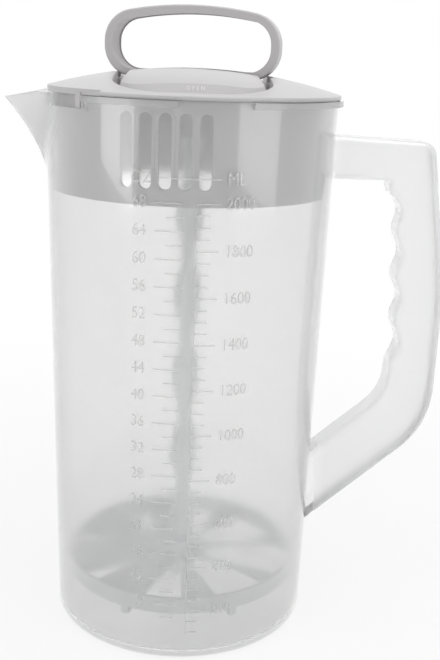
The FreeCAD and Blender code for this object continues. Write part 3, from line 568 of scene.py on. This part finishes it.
class PITCHER_OT_lid(bpy.types.Operator):
    """Finishes the lid and its strainer sleeve"""

    bl_idname = "pitcher.lid"
    bl_label = "Lid"

    def execute(self, context):
        colors = context.scene.pitcher_finish
        wear("lid_shell", moulded_plastic("lid_plastic", colors.lid_color, 0.32))
        wear("strainer_sleeve", moulded_plastic("strainer_plastic", colors.strainer_color, 0.34))
        return {"FINISHED"}


class PITCHER_OT_mixer(bpy.types.Operator):
    """Finishes the loop handle, the drive and the mixing wheel"""

    bl_idname = "pitcher.mixer"
    bl_label = "Mixer"

    def execute(self, context):
        colors = context.scene.pitcher_finish
        loop = moulded_plastic("loop_plastic", colors.loop_color, 0.34)
        drive = moulded_plastic("drive_plastic", colors.drive_color, 0.45)
        mixer = moulded_plastic("mixer_plastic", colors.mixer_color, 0.36)
        for node in ("loop_handle", "swivel_pin"):
            wear(node, loop)
        for node in ("drive_nut", "nut_retainer", "swivel_washers"):
            wear(node, drive)
        for node in ("twisted_shaft", "mixing_wheel", "wheel_cap"):
            wear(node, mixer)
        return {"FINISHED"}


# Studio

def camera_turn(studio):
    """The camera's axes as a rotation matrix."""
    yaw, pitch, roll = studio.camera_yaw, studio.camera_pitch, studio.camera_roll
    ahead = Vector((math.sin(yaw) * math.cos(pitch), math.cos(yaw) * math.cos(pitch), -math.sin(pitch)))
    right = Vector((math.cos(yaw), -math.sin(yaw), 0))
    up = right.cross(ahead)
    side = right * math.cos(roll) + up * math.sin(roll)
    top = up * math.cos(roll) - right * math.sin(roll)
    return Matrix((side, top, -ahead)).transposed().to_4x4()


def add_camera(studio):
    """The camera at the photograph's viewing angle."""
    data = bpy.data.cameras.new("camera")
    data.sensor_width = studio.sensor
    data.lens = studio.focal_length
    data.clip_start = 0.01
    camera = bpy.data.objects.new("camera", data)
    bpy.context.scene.collection.objects.link(camera)
    camera.matrix_world = Matrix.Translation(studio.camera_place) @ camera_turn(studio)
    bpy.context.scene.camera = camera


def add_lamp(name, power, place, target, sides, roll):
    """A rectangular lamp that points at a target, rolled about its beam."""
    data = bpy.data.lights.new(name, "AREA")
    data.shape = "RECTANGLE"
    data.size, data.size_y = sides
    data.energy = power
    lamp = bpy.data.objects.new(name, data)
    bpy.context.scene.collection.objects.link(lamp)
    lamp.location = place
    aim = (Vector(target) - Vector(place)).to_track_quat("-Z", "Y").to_matrix()
    lamp.rotation_euler = (aim @ Matrix.Rotation(roll, 3, "Z")).to_euler()


def seen(tree, through=1.0):
    """1 to the camera and in gloss, a share through clear plastic, and 0 to light that falls on things."""
    path = tree.node("ShaderNodeLightPath", {}, {})
    camera, gloss, transmission = path[0], path[3], path[6]
    return (camera + gloss * (1 - transmission) + transmission * through).clamp()


def rise(tree, away, near, far, low, high=1.0):
    """A smooth step from a low to a high number between two distances."""
    return tree.node("ShaderNodeMapRange", {"interpolation_type": "SMOOTHSTEP"}, {
        "Value": away, "From Min": near, "From Max": far, "To Min": low, "To Max": high})[0]


def light_world(studio):
    """Soft light from all around, and white where the camera sees it."""
    world = bpy.data.worlds.new("studio")
    bpy.context.scene.world = world
    tree = Tree(world)
    strength = studio.world_strength + seen(tree) * (1 - studio.world_strength)
    background = tree.node("ShaderNodeBackground", {}, {"Color": (1, 1, 1, 1), "Strength": strength})[0]
    tree.node("ShaderNodeOutputWorld", {}, {"Surface": background})


def add_floor(studio):
    """A pale floor that keeps the pitcher's shadow near it and turns as white as the world further out."""
    mesh = bmesh.new()
    bmesh.ops.create_circle(mesh, cap_ends=True, segments=96, radius=studio.floor_radius)
    bmesh.ops.translate(mesh, vec=(0, 0, studio.floor_seat), verts=mesh.verts)
    data = bpy.data.meshes.new("floor")
    mesh.to_mesh(data)
    mesh.free()
    floor = bpy.data.objects.new("floor", data)
    bpy.context.scene.collection.objects.link(floor)
    material = bpy.data.materials.new("floor_paper")
    tree = Tree(material)
    diffuse = tree.node("ShaderNodeBsdfDiffuse", {}, {"Color": (*[studio.floor_tone] * 3, 1)})[0]
    white = tree.node("ShaderNodeEmission", {}, {"Color": (1, 1, 1, 1), "Strength": 1.0})[0]
    away = tree.node("ShaderNodeVectorMath", {"operation": "LENGTH"}, [tree.place()])[1]
    fade = rise(tree, away, studio.near_floor, studio.far_floor, studio.near_white)
    through = rise(tree, away, studio.under_floor, studio.near_floor, studio.under_white)
    shader = tree.node("ShaderNodeMixShader", {}, {0: seen(tree, through) * fade, 1: diffuse, 2: white})[0]
    tree.node("ShaderNodeOutputMaterial", {}, {"Surface": shader})
    data.materials.append(material)


class PITCHER_OT_stage(bpy.types.Operator):
    """Sets up the floor, the lamps and the camera"""

    bl_idname = "pitcher.stage"
    bl_label = "Studio"

    def execute(self, context):
        studio = context.scene.pitcher_studio
        context.scene.view_settings.view_transform = "Standard"
        light_world(studio)
        add_floor(studio)
        add_lamp("top_lamp", studio.top_light, **TOP_LAMP)
        add_lamp("left_lamp", studio.left_light, **LEFT_LAMP)
        add_lamp("right_lamp", studio.right_light, **RIGHT_LAMP)
        add_camera(studio)
        return {"FINISHED"}


class PITCHER_PT_panel(bpy.types.Panel):
    """Lists the pitcher's pieces"""

    bl_label = "Mixing pitcher"
    bl_idname = "PITCHER_PT_panel"
    bl_space_type = "VIEW_3D"
    bl_region_type = "UI"
    bl_category = "Pitcher"

    def draw(self, context):
        for operator in OPERATORS:
            self.layout.operator(operator.bl_idname)
        for name in SETTINGS:
            group = getattr(context.scene, name)
            for prop in group.bl_rna.properties:
                if prop.identifier in group.__annotations__:
                    self.layout.prop(group, prop.identifier)


SETTINGS = {
    "pitcher_jug": JugSettings,
    "pitcher_scale": ScaleSettings,
    "pitcher_finish": FinishSettings,
    "pitcher_studio": StudioSettings,
}
OPERATORS = (
    PITCHER_OT_jug, PITCHER_OT_scale, PITCHER_OT_lid, PITCHER_OT_word, PITCHER_OT_mixer, PITCHER_OT_stage)


def register():
    for group in (*SETTINGS.values(), *OPERATORS, PITCHER_PT_panel):
        bpy.utils.register_class(group)
    for name, group in SETTINGS.items():
        setattr(bpy.types.Scene, name, bpy.props.PointerProperty(type=group))


def unregister():
    for name in SETTINGS:
        delattr(bpy.types.Scene, name)
    for group in reversed((*SETTINGS.values(), *OPERATORS, PITCHER_PT_panel)):
        bpy.utils.unregister_class(group)


def main():
    register()
    bpy.ops.pitcher.jug()
    bpy.ops.pitcher.scale()
    bpy.ops.pitcher.lid()
    bpy.ops.pitcher.word()
    bpy.ops.pitcher.mixer()
    bpy.ops.pitcher.stage()


if __name__ == "__main__":
    main()
